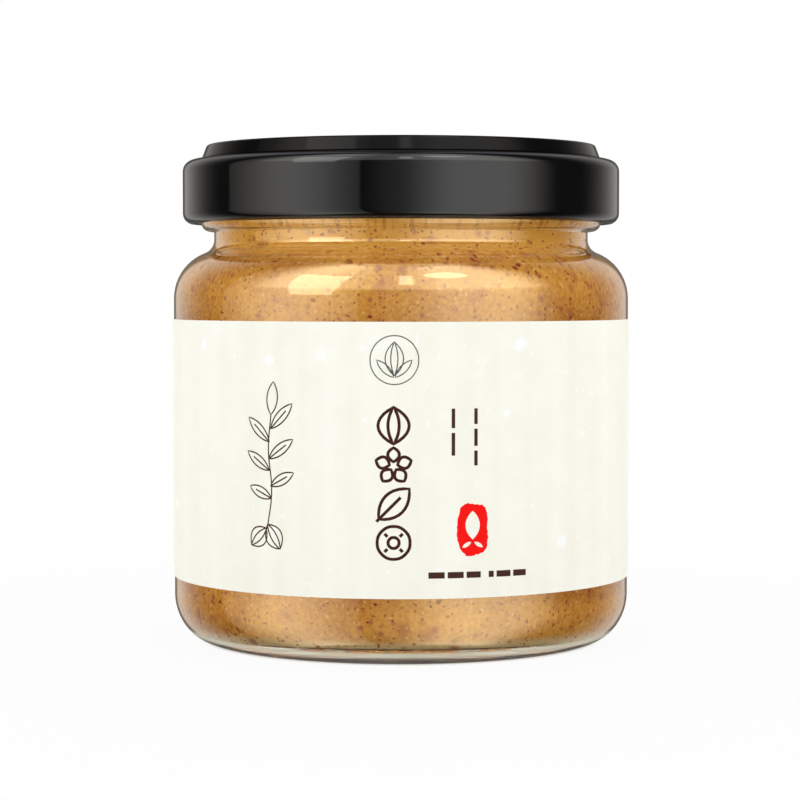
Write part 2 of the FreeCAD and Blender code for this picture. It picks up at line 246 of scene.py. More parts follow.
class Nodes:
    """The nodes of a material or of the world."""

    def __init__(self, owner):
        owner.use_nodes = True
        self.tree = owner.node_tree
        self.tree.nodes.clear()

    def add(self, kind, settings=None, inputs=None, output=0):
        """Adds a node with its settings, then its inputs' values or links, and reads one output."""
        node = self.tree.nodes.new("ShaderNode" + kind)
        for name, value in (settings or {}).items():
            setattr(node, name, value)
        for name, value in (inputs or {}).items():
            if isinstance(value, Reading):
                self.tree.links.new(value.socket, node.inputs[name])
            else:
                node.inputs[name].default_value = value
        return Reading(self, node.outputs[output]) if node.outputs else node

    def maths(self, operation, *terms):
        return self.add("Math", {"operation": operation}, dict(enumerate(terms)))

    def mix(self, factor, first, second):
        """A colour between two, which are readings or plain colours."""
        first, second = [c if isinstance(c, Reading) else (*c, 1) for c in (first, second)]
        inputs = {0: factor, 6: first, 7: second}
        return self.add("Mix", {"data_type": "RGBA"}, inputs, output=2)

    def ease(self, value, low, high):
        """0 below low, 1 above high, and smooth between."""
        inputs = {0: value, 1: low, 2: high}
        return self.add("MapRange", {"interpolation_type": "SMOOTHSTEP"}, inputs)

    def between(self, value, low, high, soft):
        """1 between two limits, with edges this soft."""
        return self.ease(value, low - soft, low + soft) - self.ease(value, high - soft, high + soft)

    def noise(self, place, scale, detail=2.0, output=0):
        inputs = {"Vector": place, "Scale": scale, "Detail": detail}
        return self.add("TexNoise", None, inputs, output)

    def cells(self, place, scale, output=0):
        """Voronoi cells: 0 gives the distance from a cell's seed and 1 a colour for each cell."""
        return self.add("TexVoronoi", None, {"Vector": place, "Scale": scale}, output)

    def split(self, vector):
        node = self.add("SeparateXYZ", None, {0: vector}).socket.node
        return [Reading(self, socket) for socket in node.outputs]

    def spots(self, place, scale, radius, soft, share):
        """Round spots in a share of the cells, each with its own size."""
        dice = self.split(self.cells(place, scale, output=1))
        size = radius * (0.45 + 0.55 * dice[1])
        spot = 1 - self.ease(self.cells(place, scale) / size, 1 - soft, 1 + soft)
        return spot * (dice[0] < share)

    def bump(self, height, distance, strength=1.0):
        inputs = {"Strength": strength, "Distance": distance, "Height": height}
        return self.add("Bump", None, inputs)

    def principled(self, **inputs):
        named = {name.replace("_", " ").title(): value for name, value in inputs.items()}
        named = {name.replace("Ior", "IOR"): value for name, value in named.items()}
        for name, value in named.items():
            if isinstance(value, (tuple, Color)):
                named[name] = (*value, 1)
        return self.add("BsdfPrincipled", None, named)

    def way_round(self, x, y, radius):
        """The way round the jar at this radius, from its front."""
        return self.maths("ARCTAN2", x, -y) * radius

    def point(self, across, up=0.0):
        return self.add("CombineXYZ", None, {0: across, 1: up, 2: 0.0})

    def rays(self, *kinds):
        """For each kind of ray, 1 where such a ray meets the surface."""
        path = self.add("LightPath").socket.node.outputs
        return [Reading(self, path[f"Is {kind} Ray"]) for kind in kinds]

    def mix_shaders(self, factor, first, second):
        """A shader between two."""
        return self.add("MixShader", None, {0: factor, 1: first, 2: second})

    def wandering(self, place, scale, reach):
        """A place that noise moves to and fro, so that a pattern on it loses its regular look."""
        shift = self.add(
            "VectorMath", {"operation": "SUBTRACT"},
            {0: self.noise(place, scale, output=1), 1: (0.5, 0.5, 0.5)},
        )
        shift = self.add("VectorMath", {"operation": "SCALE"}, {0: shift, "Scale": reach})
        return self.add("VectorMath", {"operation": "ADD"}, {0: place, 1: shift})

    def show(self, shader, kind="OutputMaterial"):
        self.add(kind, None, {"Surface": shader})

    def finish(self, **inputs):
        self.show(self.principled(**inputs))


def new_material(name):
    """A material, its nodes, and Object coordinates, which are metres in the jar's frame."""
    material = bpy.data.materials.new(name)
    nodes = Nodes(material)
    return material, nodes, nodes.add("TexCoord", output=3)


# Finishes


def clear_glass(settings):
    """Clear soda-lime glass, with a weak painted glow in its foot that stands in for the light its
    stipples scatter.

    A denser coat mirrors the panels. Lamps and soft light pass straight through to the butter.
    """
    material, nodes, place = new_material("clear_glass")
    waves = nodes.noise(place, 90, detail=1.0)
    dust = nodes.noise(place, 1500, detail=3.0)
    glass = nodes.principled(
        base_color=settings.tint,
        roughness=0.02 * nodes.ease(dust, 0.62, 0.85),
        ior=settings.refraction,
        transmission_weight=1.0,
        coat_weight=1.0,
        coat_roughness=0.0,
        coat_ior=2.0,
        normal=nodes.bump(waves, settings.ripple),
    )
    x, y, height = nodes.split(place)
    inner, outer = 24.3 * MM, 25.3 * MM
    outside = nodes.ease(x * x + y * y, inner**2, outer**2)
    # Painted light: a glowing band in the foot stands in for the light that the stipples scatter.
    painted_glow_band = outside * nodes.between(height, 1.15 * MM, 1.9 * MM, 0.3 * MM)
    glow = nodes.add("Emission", None, {"Color": (*settings.foot, 1), "Strength": 1.0})
    glass = nodes.mix_shaders(painted_glow_band * 0.72, glass, glow)
    shadow, diffuse = nodes.rays("Shadow", "Diffuse")
    straight = nodes.maths("MAXIMUM", shadow, diffuse)
    nodes.show(nodes.mix_shaders(straight, glass, nodes.add("BsdfTransparent")))
    return material


def almond_paste(settings):
    """Ground almonds: mottled paste, sunk skin, fine skin dust and pale grit.

    Painted light makes the paste paler in the neck and on the floor, and upright stripes of painted
    shade behind the bead stand in for the bead's refraction.
    """
    material, nodes, place = new_material("almond_paste")
    loose = nodes.wandering(place, 900, 0.6 * MM)
    looser = nodes.wandering(place, 500, 1.2 * MM)
    clouds = nodes.noise(place, 130, detail=3.0)
    grain = nodes.noise(place, 1900, detail=3.0)
    tone = 0.5 * nodes.ease(clouds, 0.36, 0.64) + 0.5 * nodes.ease(grain, 0.34, 0.66)
    colour = nodes.mix(tone, settings.dark, settings.light)
    x, y, height = nodes.split(place)
    # Painted light: the paste is made paler in the neck.
    painted_light_in_neck = nodes.ease(height, 50.5 * MM, 54 * MM)
    colour = nodes.mix(painted_light_in_neck * 0.7, colour, settings.top)
    # Painted shade: dark upright streaks behind the bead stand in for its refraction.
    upright = nodes.point(nodes.way_round(x, y, body_radius))
    painted_refraction_streaks = nodes.ease(nodes.noise(upright, 850, detail=2.0), 0.48, 0.66)
    in_bead = nodes.ease(height, 56 * MM, 56.8 * MM)
    colour = nodes.mix(painted_refraction_streaks * in_bead * 0.75, colour, settings.dark)
    # Painted light: the paste is made paler on the floor, where light comes up through the base.
    painted_light_at_foot = 1 - nodes.ease(height, 3.2 * MM, 3.9 * MM)
    colour = nodes.mix(painted_light_at_foot * 0.8, colour, settings.foot)
    haze = nodes.spots(looser, 330, 0.34, 0.8, 0.3)
    colour = nodes.mix(haze * 0.6, colour, settings.sunk_skin)
    sunk = nodes.spots(loose, 760, 0.34, 0.6, 0.3)
    colour = nodes.mix(sunk * 0.85, colour, settings.sunk_skin)
    blots = nodes.spots(looser, 270, 0.2, 0.45, 0.4)
    colour = nodes.mix(blots * 0.65, colour, settings.skin)
    grit = nodes.spots(loose, 1500, 0.36, 0.6, 0.2)
    colour = nodes.mix(grit * 0.5, colour, settings.kernel)
    dust = nodes.spots(loose, 1900, 0.4, 0.4, 0.22)
    colour = nodes.mix(dust * 0.8, colour, settings.skin)
    relief = grain * 0.5 + sunk * 0.5
    nodes.finish(
        base_color=colour,
        roughness=0.42 + 0.2 * grain,
        specular_ior_level=0.05,
        normal=nodes.bump(relief, 0.05 * MM, 0.5),
    )
    return material


def almond_skin(settings):
    """Brown skin whose tone changes from one fleck to the next."""
    material, nodes, place = new_material("almond_skin")
    tone = nodes.ease(nodes.noise(place, 420, detail=1.0), 0.35, 0.68)
    veins = nodes.noise(place, 5200, detail=2.0)
    colour = nodes.mix(tone, settings.skin, settings.sunk_skin)
    colour = nodes.mix(0.35 * veins, colour, shade(92, 38, 24))
    nodes.finish(
        base_color=colour, roughness=0.5 + 0.2 * veins, specular_ior_level=0.05,
        normal=nodes.bump(veins, 0.02 * MM, 0.6),
    )
    return material


def almond_kernel(settings):
    """Pale, slightly oily kernel."""
    material, nodes, place = new_material("almond_kernel")
    tone = nodes.ease(nodes.noise(place, 500, detail=1.0), 0.35, 0.65)
    grain = nodes.noise(place, 6000, detail=2.0)
    colour = nodes.mix(tone * 0.7, settings.kernel, settings.light)
    colour = nodes.mix(0.25 * grain, colour, settings.dark)
    nodes.finish(
        base_color=colour, roughness=0.38 + 0.2 * grain, specular_ior_level=0.05,
        normal=nodes.bump(grain, 0.02 * MM, 0.6),
    )
    return material


def black_lacquer(settings):
    """Glossy stoved lacquer with the faint orange peel of a sprayed sheet.

    It is duller from the step up, and the crease at the step's foot is painted shade: a darker band
    without gloss.
    """
    material, nodes, place = new_material("black_lacquer")
    peel = nodes.noise(place, 700, detail=2.0)
    haze = nodes.noise(place, 160, detail=4.0)
    shine, dull = [
        nodes.principled(
            base_color=nodes.mix(haze, settings.lacquer, shade(15, 15, 17)),
            roughness=settings.gloss * (0.8 + 0.4 * haze) + blur,
            specular_ior_level=level,
            specular_tint=(0.5, 0.62, 1.0),
            normal=nodes.bump(peel, 0.002 * MM, 0.35),
        )
        for level, blur in ((0.83, 0.0), (0.14, 0.03))
    ]
    ledge = lid_high.z - settings.step
    height = nodes.split(place)[2]
    on_top = nodes.ease(height, ledge - 0.1 * MM, ledge + 0.2 * MM)
    # Painted shade: a darker band without gloss in the crease at the step's foot.
    crease = nodes.between(height, ledge - 0.12 * MM, ledge + 0.16 * MM, 0.05 * MM)
    painted_crease_shade = nodes.principled(base_color=shade(9, 9, 10), roughness=0.8, specular_ior_level=0.0)
    nodes.show(nodes.mix_shaders(crease, nodes.mix_shaders(on_top, shine, dull), painted_crease_shade))
    return material


def sealing_compound(settings):
    """Soft plastisol, smooth and slightly satin."""
    material, nodes, place = new_material("sealing_compound")
    mottle = nodes.noise(place, 350, detail=3.0)
    nodes.finish(
        base_color=nodes.mix(mottle * 0.3, settings.seal, shade(188, 184, 174)),
        roughness=0.5 + 0.12 * mottle,
        normal=nodes.bump(mottle, 0.02 * MM, 0.5),
    )
    return material


def flecked_paper(settings):
    """Uncoated cream paper with pale flecks, short fibres and faint upright bands."""
    material, nodes, place = new_material("flecked_paper")
    x, y, z = nodes.split(place)
    across = nodes.way_round(x, y, label_high.x)
    flat = nodes.point(across, z)
    bands = nodes.noise(nodes.point(across, z * 0.02), 260, detail=3.0)
    cloud = nodes.noise(flat, 220, detail=4.0)
    tooth = nodes.noise(flat, 5200, detail=3.0)
    tone = nodes.ease(bands * 0.5 + cloud * 0.3 + tooth * 0.2, 0.32, 0.68)
    colour = nodes.mix(tone, settings.paper, shade(250, 250, 241))
    ragged = nodes.wandering(flat, 1600, 0.7 * MM)
    large = nodes.spots(ragged, 190, 0.17, 0.3, 0.7)
    small = nodes.spots(ragged, 620, 0.18, 0.4, 0.25)
    flecks = nodes.maths("MAXIMUM", large, small)
    colour = nodes.mix(flecks, colour, settings.fibre)
    crooked = nodes.wandering(flat, 500, 2.2 * MM)
    run = nodes.maths("ABSOLUTE", nodes.noise(crooked, 240, detail=0.0) - 0.5)
    patch = nodes.ease(nodes.noise(flat, 330, detail=0.0), 0.62, 0.7)
    fibres = (1 - nodes.ease(run, 0.004, 0.014)) * patch
    colour = nodes.mix(fibres * 0.5, colour, settings.fibre)
    nodes.finish(
        base_color=colour,
        roughness=0.72 + 0.12 * tooth,
        specular_ior_level=0.1,
        normal=nodes.bump(tooth * 0.6 + flecks * 0.4, 0.012 * MM, 0.6),
    )
    return material


def printing_ink(name, colour, settings):
    """Ink on uncoated paper, whose tooth thins it here and there."""
    material, nodes, place = new_material(name)
    tooth = nodes.noise(place, 6500, detail=3.0)
    thin = nodes.ease(tooth, 0.6, 0.8)
    nodes.finish(
        base_color=nodes.mix(thin * 0.06, colour, settings.paper),
        roughness=0.55 + 0.2 * tooth,
        specular_ior_level=0.1,
        normal=nodes.bump(tooth, 0.006 * MM, 0.6),
    )
    return material


# Pieces


def finished(name, mesh):
    """The data of a bmesh, which ends here."""
    data = bpy.data.meshes.new(name)
    mesh.to_mesh(data)
    mesh.free()
    return data


def stand(name, data):
    """An object of this data, in the scene."""
    holder = bpy.data.objects.new(name, data)
    bpy.context.scene.collection.objects.link(holder)
    return holder


def keep_piece(name, mesh, material, replaces=(), crease=40):
    """Makes an object of a bmesh, smooth but for its creases, and fixes it to the jar."""
    data = finished(name, mesh)
    data.shade_smooth()
    if crease:
        data.set_sharp_from_angle(angle=math.radians(crease))
    data.materials.append(material)
    piece = stand(name, data)
    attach(piece, BODY)
    for node in replaces:
        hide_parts(node)
    return piece


def refinish(node, material):
    """Gives a node of the CAD model its material."""
    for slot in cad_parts[node].material_slots:
        slot.material = material


class Profile:
    """A line drawn outwards and upwards from the axis, then turned about it."""

    def __init__(self, radius, height):
        self.mesh = bmesh.new()
        self.pen = self.mesh.verts.new((radius, 0, height))

    def line_to(self, radius, height, parts=1):
        """A straight run, with a narrow face at each end so that it shades as a straight one."""
        start, end = self.pen.co.copy(), Vector((radius, 0, height))
        margin = min(0.25 / parts, 0.05 * MM / (end - start).length)
        shares = [margin, *(part / parts for part in range(1, parts)), 1 - margin, 1]
        for share in shares:
            self.pen = bmesh.ops.extrude_vert_indiv(self.mesh, verts=[self.pen])["verts"][0]
            self.pen.co = start.lerp(end, share)

    def corner(self, radius, height, fillet, ahead, steps=8):
        """A straight run to a rounded corner, which turns towards the point ahead."""
        tip = Vector((radius, height))
        back = (self.pen.co.xz - tip).normalized()
        onward = (Vector(ahead) - tip).normalized()
        half = back.angle(onward) / 2
        self.line_to(*(tip + back * fillet / math.tan(half)))
        centre = tip + (back + onward).normalized() * fillet / math.sin(half)
        turn = math.pi - 2 * half
        self.arc(centre, math.copysign(turn, onward.cross(back)), steps)

    def arc(self, centre, turn, steps):
        """Turns the pen about a centre, anticlockwise where the turn is positive."""
        centre = Vector((centre[0], 0, centre[1]))
        path = bmesh.ops.spin(
            self.mesh, geom=[self.pen], cent=centre, axis=(0, 1, 0), angle=-turn, steps=steps
        )
        self.pen = path["geom_last"][0]

    def ogee_to(self, radius, height, steps):
        """Two equal arcs, level at both ends."""
        start = self.pen.co.copy()
        across, rise = radius - start.x, height - start.z
        bend = (across**2 + rise**2) / (4 * rise)
        turn = 2 * math.atan2(rise, across)
        self.arc((start.x, start.z + bend), turn, steps)
        self.arc((radius, height - bend), -turn, steps)

    def turned(self, steps=256):
        """Turns the line about the axis, and closes its ends on the axis."""
        bmesh.ops.spin(
            self.mesh, geom=self.mesh.verts[:] + self.mesh.edges[:], cent=(0, 0, 0),
            axis=(0, 0, 1), angle=math.tau, steps=steps, use_merge=True,
        )
        bmesh.ops.remove_doubles(self.mesh, verts=self.mesh.verts[:], dist=MERGE)
        bmesh.ops.recalc_face_normals(self.mesh, faces=self.mesh.faces[:])
        return self.mesh


def turn_butter(settings):
    """The butter: the inside of the glass, a little into the wall, with a folded top."""
    inset = settings.wall - settings.reach
    radius = body_radius - inset
    floor = butter_low.z + settings.lift
    heel_centre = body_radius - settings.wall - settings.heel, butter_low.z + settings.heel
    heel = settings.heel + settings.reach
    heel_start = math.radians(15)
    shoulder_centre = body_radius - settings.shoulder, settings.shoulder_height
    neck_centre = settings.neck_radius + settings.neck_fillet, settings.neck_height
    step = body_radius - settings.neck_radius
    shoulder_turn = math.acos(1 - step / (settings.shoulder + settings.neck_fillet))
    top = butter_high.z
    edge = 0.6 * MM         # rounding of the top's edge
    fold_width = 2.6 * MM
    fade_width = 3 * MM

    profile = Profile(0, floor + settings.crown)
    profile.ogee_to(heel_centre[0] - MM, floor, 8)
    profile.line_to(
        heel_centre[0] + heel * math.sin(heel_start), heel_centre[1] - heel * math.cos(heel_start)
    )
    profile.arc(heel_centre, math.pi / 2 - heel_start, 14)
    profile.line_to(radius, shoulder_centre[1], 40)
    profile.arc(shoulder_centre, shoulder_turn, 12)
    profile.arc(neck_centre, -shoulder_turn, 14)
    bore = profile.pen.co.x
    profile.line_to(bore, top - edge, 4)
    profile.arc((bore - edge, top - edge), math.pi / 2, 4)
    profile.line_to(0, top, 30)
    mesh = profile.turned(steps=192)
    for vertex in mesh.verts:
        reach = vertex.co.xy.length
        if vertex.co.z > top - 0.01 * MM and reach < bore - MM:
            fold = math.sin(reach / fold_width + 2 * math.atan2(vertex.co.y, vertex.co.x))
            lump = noise.noise(vertex.co * 160)
            fade = min(1, (bore - MM - reach) / fade_width)
            vertex.co.z -= settings.swirl * fade * (0.5 + 0.3 * fold + 0.4 * lump)
    return mesh


def turn_lid(settings):
    """The lid of pressed sheet: button, panel, ring, step, side, rolled edge and four lugs."""
    radius, bottom, top = lid_high.x, lid_low.z, lid_high.z
    panel = top - settings.recess
    button = settings.button / 2
    slope, dish = 1.2 * MM, 0.15 * MM
    ring = settings.panel - settings.ring
    foot = settings.panel + 0.75 * MM
    ledge = top - settings.step
    shoulder = ledge - 0.2 * MM
    tight = 0.35 * MM
    turn = math.radians(70)
    offset = settings.curl - tight
    curl_centre = Vector((radius - settings.curl, bottom + tight + offset * math.sin(turn)))
    tight_centre = curl_centre + offset * Vector((math.cos(turn), -math.sin(turn)))
    inner = tight_centre.x - tight
    roll_top = bottom + 2.2 * MM

    profile = Profile(0, panel - settings.button_step - dish)
    profile.ogee_to(button - slope, panel - settings.button_step, 4)
    profile.ogee_to(button, panel, 6)
    profile.line_to(ring - slope, panel)
    profile.ogee_to(ring, top, 6)
    profile.corner(settings.panel, top, 0.35 * MM, (foot, ledge))
    profile.corner(foot, ledge, 0.3 * MM, (radius, shoulder))
    profile.corner(radius, shoulder, settings.shoulder, (radius, bottom), 14)
    profile.line_to(*curl_centre + Vector((settings.curl, 0)))
    profile.arc(curl_centre, -turn, 12)
    profile.arc(tight_centre, turn - math.pi, 10)
    profile.line_to(inner, roll_top - tight, 8)
    profile.arc((inner + tight, roll_top - tight), -math.pi / 2, 5)
    profile.line_to(inner + tight + 0.5 * MM, roll_top)
    mesh = profile.turned(steps=288)

    quarter = 90            # degrees from one lug to the next
    lug_top, lug_middle = 2 * MM, 1.1 * MM
    for vertex in mesh.verts:
        across, height = vertex.co.xy.length, vertex.co.z - bottom
        if across > inner + 0.02 * MM or height > lug_top:
            continue
        azimuth = math.degrees(math.atan2(vertex.co.y, vertex.co.x))
        off_lug = (azimuth - settings.lug_azimuth + quarter / 2) % quarter - quarter / 2
        chord = min(across, settings.lug_reach / math.cos(math.radians(off_lug)))
        press = min(1, max(0, 1.5 - abs(height - lug_middle) / MM * 1.6))
        vertex.co.xy *= 1 + press * (chord / across - 1)
    bmesh.ops.solidify(mesh, geom=mesh.faces[:], thickness=settings.sheet)
    bmesh.ops.recalc_face_normals(mesh, faces=mesh.faces[:])
    return mesh


def make_shapes(number, flat, dice):
    """A few irregular shapes one unit long: flakes cut from a flat cone, or lumps."""
    shapes = []
    for _ in range(number):
        mesh = bmesh.new()
        if flat:
            bmesh.ops.create_cone(
                mesh, cap_ends=True, segments=6, radius1=0.5, radius2=0.36, depth=0.12
            )
        else:
            bmesh.ops.create_icosphere(mesh, subdivisions=1, radius=0.5)
        for vertex in mesh.verts:
            stretch = dice.uniform(0.7, 1.15)
            vertex.co.x *= stretch
            vertex.co.y *= stretch
            if not flat:
                vertex.co.z *= dice.uniform(0.7, 1.1)
        shapes.append(finished("shape", mesh))
    return shapes


def scatter(ground, shapes, count, size, depth, dice):
    """Copies of the shapes over the sides of a turned piece, each flat against it.

    The depth is how far a shape's middle stands out, as a part of its length.
    """
    faces = [face for face in ground.polygons if face.center.z < butter_high.z - 0.5 * MM]
    # A turned piece's faces come in another order in each run, so they are put in one of their own.
    faces.sort(key=lambda face: [round(part / MERGE) for part in face.center])
    spread = 0.42           # of the lengths, as a part of the usual one
    sown = bmesh.new()
    for face in dice.choices(faces, [face.area for face in faces], k=count):
        corners = [ground.vertices[index].co for index in face.vertices]
        place = corners[0].lerp(corners[1], dice.random())
        place = place.lerp(corners[2], dice.random())
        length = size * dice.lognormvariate(0, spread)
        width = length * dice.uniform(0.4, 0.95)
        facing = face.normal.to_track_quat("Z", "Y").to_matrix().to_4x4()
        turn = Matrix.Rotation(dice.uniform(0, math.tau), 4, "Z")
        scale = Matrix.Diagonal((length, width, min(length, 2 * size), 1))
        sink = Matrix.Translation(face.normal * depth * length)
        data = dice.choice(shapes).copy()
        data.transform(Matrix.Translation(place) @ sink @ facing @ turn @ scale)
        sown.from_mesh(data)
        bpy.data.meshes.remove(data)
    for data in shapes:
        bpy.data.meshes.remove(data)
    return sown


class Drawing:
    """A flat drawing in millimetres, across the label's front and up, that is wrapped on it."""

    def __init__(self, stroke=0.0):
        self.curve = bpy.data.curves.new("drawing", "CURVE")
        self.stroke = stroke
        self.curve.dimensions = "3D" if stroke else "2D"
        self.curve.resolution_u = 10
        if stroke:
            self.curve.bevel_depth = stroke * MM / 2
            self.curve.bevel_resolution = 1
            self.curve.use_fill_caps = True
        else:
            self.curve.fill_mode = "BOTH"

    def line(self, points, closed=False, handles="AUTO"):
        """A curve through points (across, up): AUTO for a smooth one, VECTOR for straight runs."""
        spline = self.curve.splines.new("BEZIER")
        spline.bezier_points.add(len(points) - 1)
        for knot, (across, up) in zip(spline.bezier_points, points):
            knot.co = (across * MM, up * MM, 0)
            knot.handle_left_type = knot.handle_right_type = handles
        spline.use_cyclic_u = closed

    def leaf(self, foot, tip, width):
        """An outline with two pointed ends, like a leaf or an almond."""
        fullness = 0.68         # how far the handles stand out, for an outline of this width
        foot, tip = Vector((*foot, 0)) * MM, Vector((*tip, 0)) * MM
        along = tip - foot
        out = Vector((-along.y, along.x, 0)).normalized() * width * MM * fullness
        spline = self.curve.splines.new("BEZIER")
        spline.bezier_points.add(1)
        for knot, place, way in zip(spline.bezier_points, (foot, tip), (1, -1)):
            knot.co = place
            knot.handle_left_type = knot.handle_right_type = "FREE"
            knot.handle_right = place + along * 0.3 * way + out * way
            knot.handle_left = place + along * 0.3 * way - out * way
        spline.use_cyclic_u = True

    def ring(self, centre, radius, knots=8):
        """A circle, or a rounded outline of fewer knots."""
        turns = [math.tau * knot / knots for knot in range(knots)]
        self.line(
            [(centre[0] + radius * math.cos(t), centre[1] + radius * math.sin(t)) for t in turns],
            closed=True,
        )

    def bar(self, left, low, right, high):
        """A filled or drawn rectangle."""
        self.line([(left, low), (right, low), (right, high), (left, high)], True, "VECTOR")

    def wrapped(self, paper_radius, film):
        """The drawing as a film of ink on the paper."""
        holder = bpy.data.objects.new("drawing", self.curve)
        data = bpy.data.meshes.new_from_object(holder)
        mesh = bmesh.new()
        mesh.from_mesh(data)
        bpy.data.objects.remove(holder)
        bpy.data.curves.remove(self.curve)
        bpy.data.meshes.remove(data)
        bmesh.ops.remove_doubles(mesh, verts=mesh.verts[:], dist=MERGE)
        if self.stroke:
            bmesh.ops.scale(mesh, vec=(1, 1, 2 * film / (self.stroke * MM)), verts=mesh.verts[:])
        else:
            side = bmesh.ops.extrude_face_region(mesh, geom=mesh.faces[:])
            lifted = [part for part in side["geom"] if isinstance(part, bmesh.types.BMVert)]
            bmesh.ops.translate(mesh, vec=(0, 0, film), verts=lifted)
        bmesh.ops.recalc_face_normals(mesh, faces=mesh.faces[:])
        wrap(mesh, paper_radius, step=0.5 * MM)
        return mesh


def wrap(mesh, radius, step):
    """Cuts a flat piece into upright strips and bends it round the jar, its front at -Y."""
    low = min(vertex.co.x for vertex in mesh.verts)
    high = max(vertex.co.x for vertex in mesh.verts)
    strips = math.ceil((high - low) / step)
    for number in range(1, strips):
        cut = (low + (high - low) * number / strips, 0, 0)
        bmesh.ops.bisect_plane(
            mesh, geom=mesh.verts[:] + mesh.edges[:] + mesh.faces[:], plane_co=cut,
            plane_no=(1, 0, 0), dist=0.0001 * MM,
        )
    for vertex in mesh.verts:
        across, up, lift = vertex.co
        angle = across / radius
        reach = radius + lift
        vertex.co = (reach * math.sin(angle), -reach * math.cos(angle), up)


def cut_label(settings):
    """A long strip of paper with rounded corners, wrapped round the jar."""
    outer = body_radius + settings.thickness
    length = math.tau * body_radius - settings.gap
    middle = (label_low.z + label_high.z) / 2
    mesh = bmesh.new()
    bmesh.ops.create_grid(mesh, x_segments=1, y_segments=1, size=0.5)
    bmesh.ops.scale(mesh, vec=(length, label_high.z - label_low.z, 1), verts=mesh.verts[:])
    bmesh.ops.translate(mesh, vec=(0, middle, 0), verts=mesh.verts[:])
    bmesh.ops.bevel(
        mesh, geom=mesh.verts[:], offset=settings.corner, segments=8, profile=0.5, material=-1,
        affect="VERTICES",
    )
    back = bmesh.ops.extrude_face_region(mesh, geom=mesh.faces[:])
    sunk = [part for part in back["geom"] if isinstance(part, bmesh.types.BMVert)]
    bmesh.ops.translate(mesh, vec=(0, 0, -settings.thickness - settings.sink), verts=sunk)
    bmesh.ops.recalc_face_normals(mesh, faces=mesh.faces[:])
    wrap(mesh, outer, step=1.1 * MM)
    return mesh


def draw_sprig():
    """A tall almond sprig in thin lines: a stem, slim leaves and two nuts at its foot."""
    drawing = Drawing(stroke=0.19)
    drawing.line([(-18.3, 17.6), (-17.6, 22.5), (-18.1, 28.0), (-17.7, 32.4)])
    drawing.leaf((-17.7, 32.4), (-17.3, 36.7), 1.6)
    for foot, tip in (
        ((-17.75, 30.6), (-14.5, 33.9)), ((-17.95, 28.9), (-21.3, 32.0)),
        ((-18.05, 26.7), (-14.4, 29.3)), ((-17.95, 25.2), (-21.5, 27.6)),
        ((-17.75, 23.2), (-14.3, 25.0)), ((-17.65, 21.6), (-21.1, 23.1)),
    ):
        drawing.leaf(foot, tip, 1.35)
        reach = [foot[axis] + 0.72 * (tip[axis] - foot[axis]) for axis in (0, 1)]
        drawing.line([foot, reach], handles="VECTOR")
    for foot, tip in ((-18.25, 18.2), (-16.3, 15.1)), ((-18.45, 17.7), (-20.9, 15.4)):
        drawing.leaf(foot, tip, 2.5)
        drawing.leaf(foot, tip, 0.9)
    return drawing


def draw_emblem():
    """A thin ring round one almond and two small leaves."""
    drawing = Drawing(stroke=0.15)
    middle = -0.85
    drawing.ring((middle, 39.6), 3.1, knots=12)
    drawing.leaf((middle, 37.6), (middle, 41.9), 2.3)
    drawing.leaf((middle, 37.6), (middle, 41.9), 0.9)
    drawing.leaf((middle - 0.1, 37.4), (middle - 2.25, 39.6), 0.9)
    drawing.leaf((middle + 0.1, 37.4), (middle + 2.25, 39.6), 0.9)
    return drawing


def toward(degrees):
    """A step of one, at this angle from the right."""
    turn = math.radians(degrees)
    return Vector((math.cos(turn), math.sin(turn)))


def draw_ornaments():
    """A column of four plain figures: an almond, a blossom, a leaf and a grinding stone."""
    drawing = Drawing(stroke=0.4)
    middle = -0.95
    drawing.leaf((middle, 28.9), (middle, 33.6), 3.9)
    drawing.leaf((middle, 28.9), (middle, 33.6), 1.4)
    blossom = Vector((middle, 26.1))
    for petal in range(5):
        way = toward(90 + 72 * petal)
        drawing.leaf(blossom + 0.55 * way, blossom + 2.35 * way, 1.45)
    drawing.leaf((middle - 1.9, 19.3), (middle + 2.0, 23.2), 2.9)
    drawing.line([(middle - 2.2, 19.0), (middle + 0.9, 22.1)])
    stone = Vector((middle, 16.3))
    drawing.ring(stone, 2.1)
    drawing.ring(stone, 0.7)
    for turn in (45, 135, 225, 315):
        way = toward(turn)
        drawing.line([stone + 1.1 * way, stone + 1.65 * way])
    return drawing


def draw_bars():
    """Plain bars where a label has small print: two upright and one row below."""
    drawing = Drawing()
    for left, right, ends in (
        (6.5, 6.95, ((33.4, 30.9), (30.3, 27.4))),
        (9.5, 9.95, ((33.4, 31.4), (30.8, 28.6), (28.0, 26.1))),
    ):
        for high, low in ends:
            drawing.bar(left, low, right, high)
    for left, right in (
        (3.5, 5.6), (6.0, 8.1), (8.5, 10.4), (11.5, 12.2), (12.6, 14.6), (15.0, 16.9),
    ):
        drawing.bar(left, 11.7, right, 12.5)
    return drawing


def draw_patch():
    """A brushed red patch with an almond and two leaves left bare."""
    drawing = Drawing()
    middle, height = 9.3, 17.9
    half_width, half_height = 2.1, 3.4
    squareness = 3.2        # 2 is an ellipse, and more comes nearer to a rectangle
    knots = 64
    edge = []
    dice = random.Random(PATCH_SEED)
    for number in range(knots):
        turn = math.tau * number / knots
        across, up = math.cos(turn), math.sin(turn)
        reach = (abs(across) ** squareness + abs(up) ** squareness) ** (-1 / squareness)
        reach *= 1 - 0.05 * dice.random() - 0.03 * math.sin(5 * turn + 1)
        edge.append((middle + half_width * reach * across, height + half_height * reach * up))
    drawing.line(edge, closed=True)
    drawing.leaf((middle, 16.6), (middle, 20.3), 1.9)
    drawing.leaf((middle - 0.2, 16.3), (middle - 1.4, 15.6), 0.5)
    drawing.leaf((middle + 0.2, 16.3), (middle + 1.4, 15.6), 0.5)
    return drawing


# Operators


class JAR_OT_glass(bpy.types.Operator):
    """Finish the glass jar"""

    bl_idname = "jar.glass"
    bl_label = "Glass Jar"

    def execute(self, context):
        refinish("glass_jar", clear_glass(context.scene.jar_glass))
        return {"FINISHED"}


